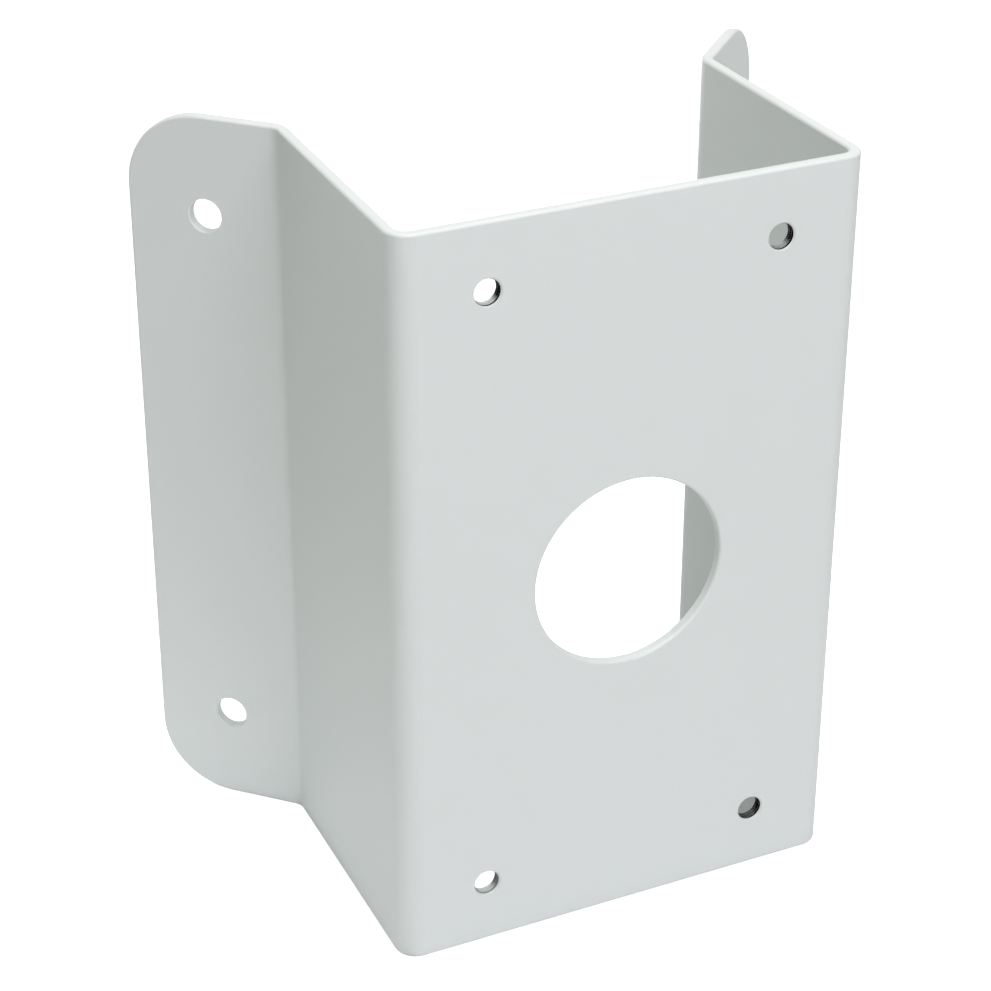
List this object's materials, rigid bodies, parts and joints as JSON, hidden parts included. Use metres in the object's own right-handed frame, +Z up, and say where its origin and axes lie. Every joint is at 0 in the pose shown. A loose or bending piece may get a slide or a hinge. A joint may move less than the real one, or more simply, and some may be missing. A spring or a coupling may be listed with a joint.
{
  "type": "camera corner mount bracket",
  "caption": "Folded sheet steel bracket for a camera on an outside wall corner: front plate with a cable hole and tapped holes, side webs, and angled wall flanges.",
  "frame": {"origin": "centre of the bounding box at its lower face", "axes": "+Z up along the sheet's height; -Y out of the front plate, towards the camera; the flanges are at +Y"},
  "size_m": [0.1786, 0.1058, 0.2],
  "materials": {
    "powder_coat": "satin off-white powder coat"
  },
  "bodies": {
    "root": {"corner_bracket": "powder_coat"}
  },
  "joints": []
}
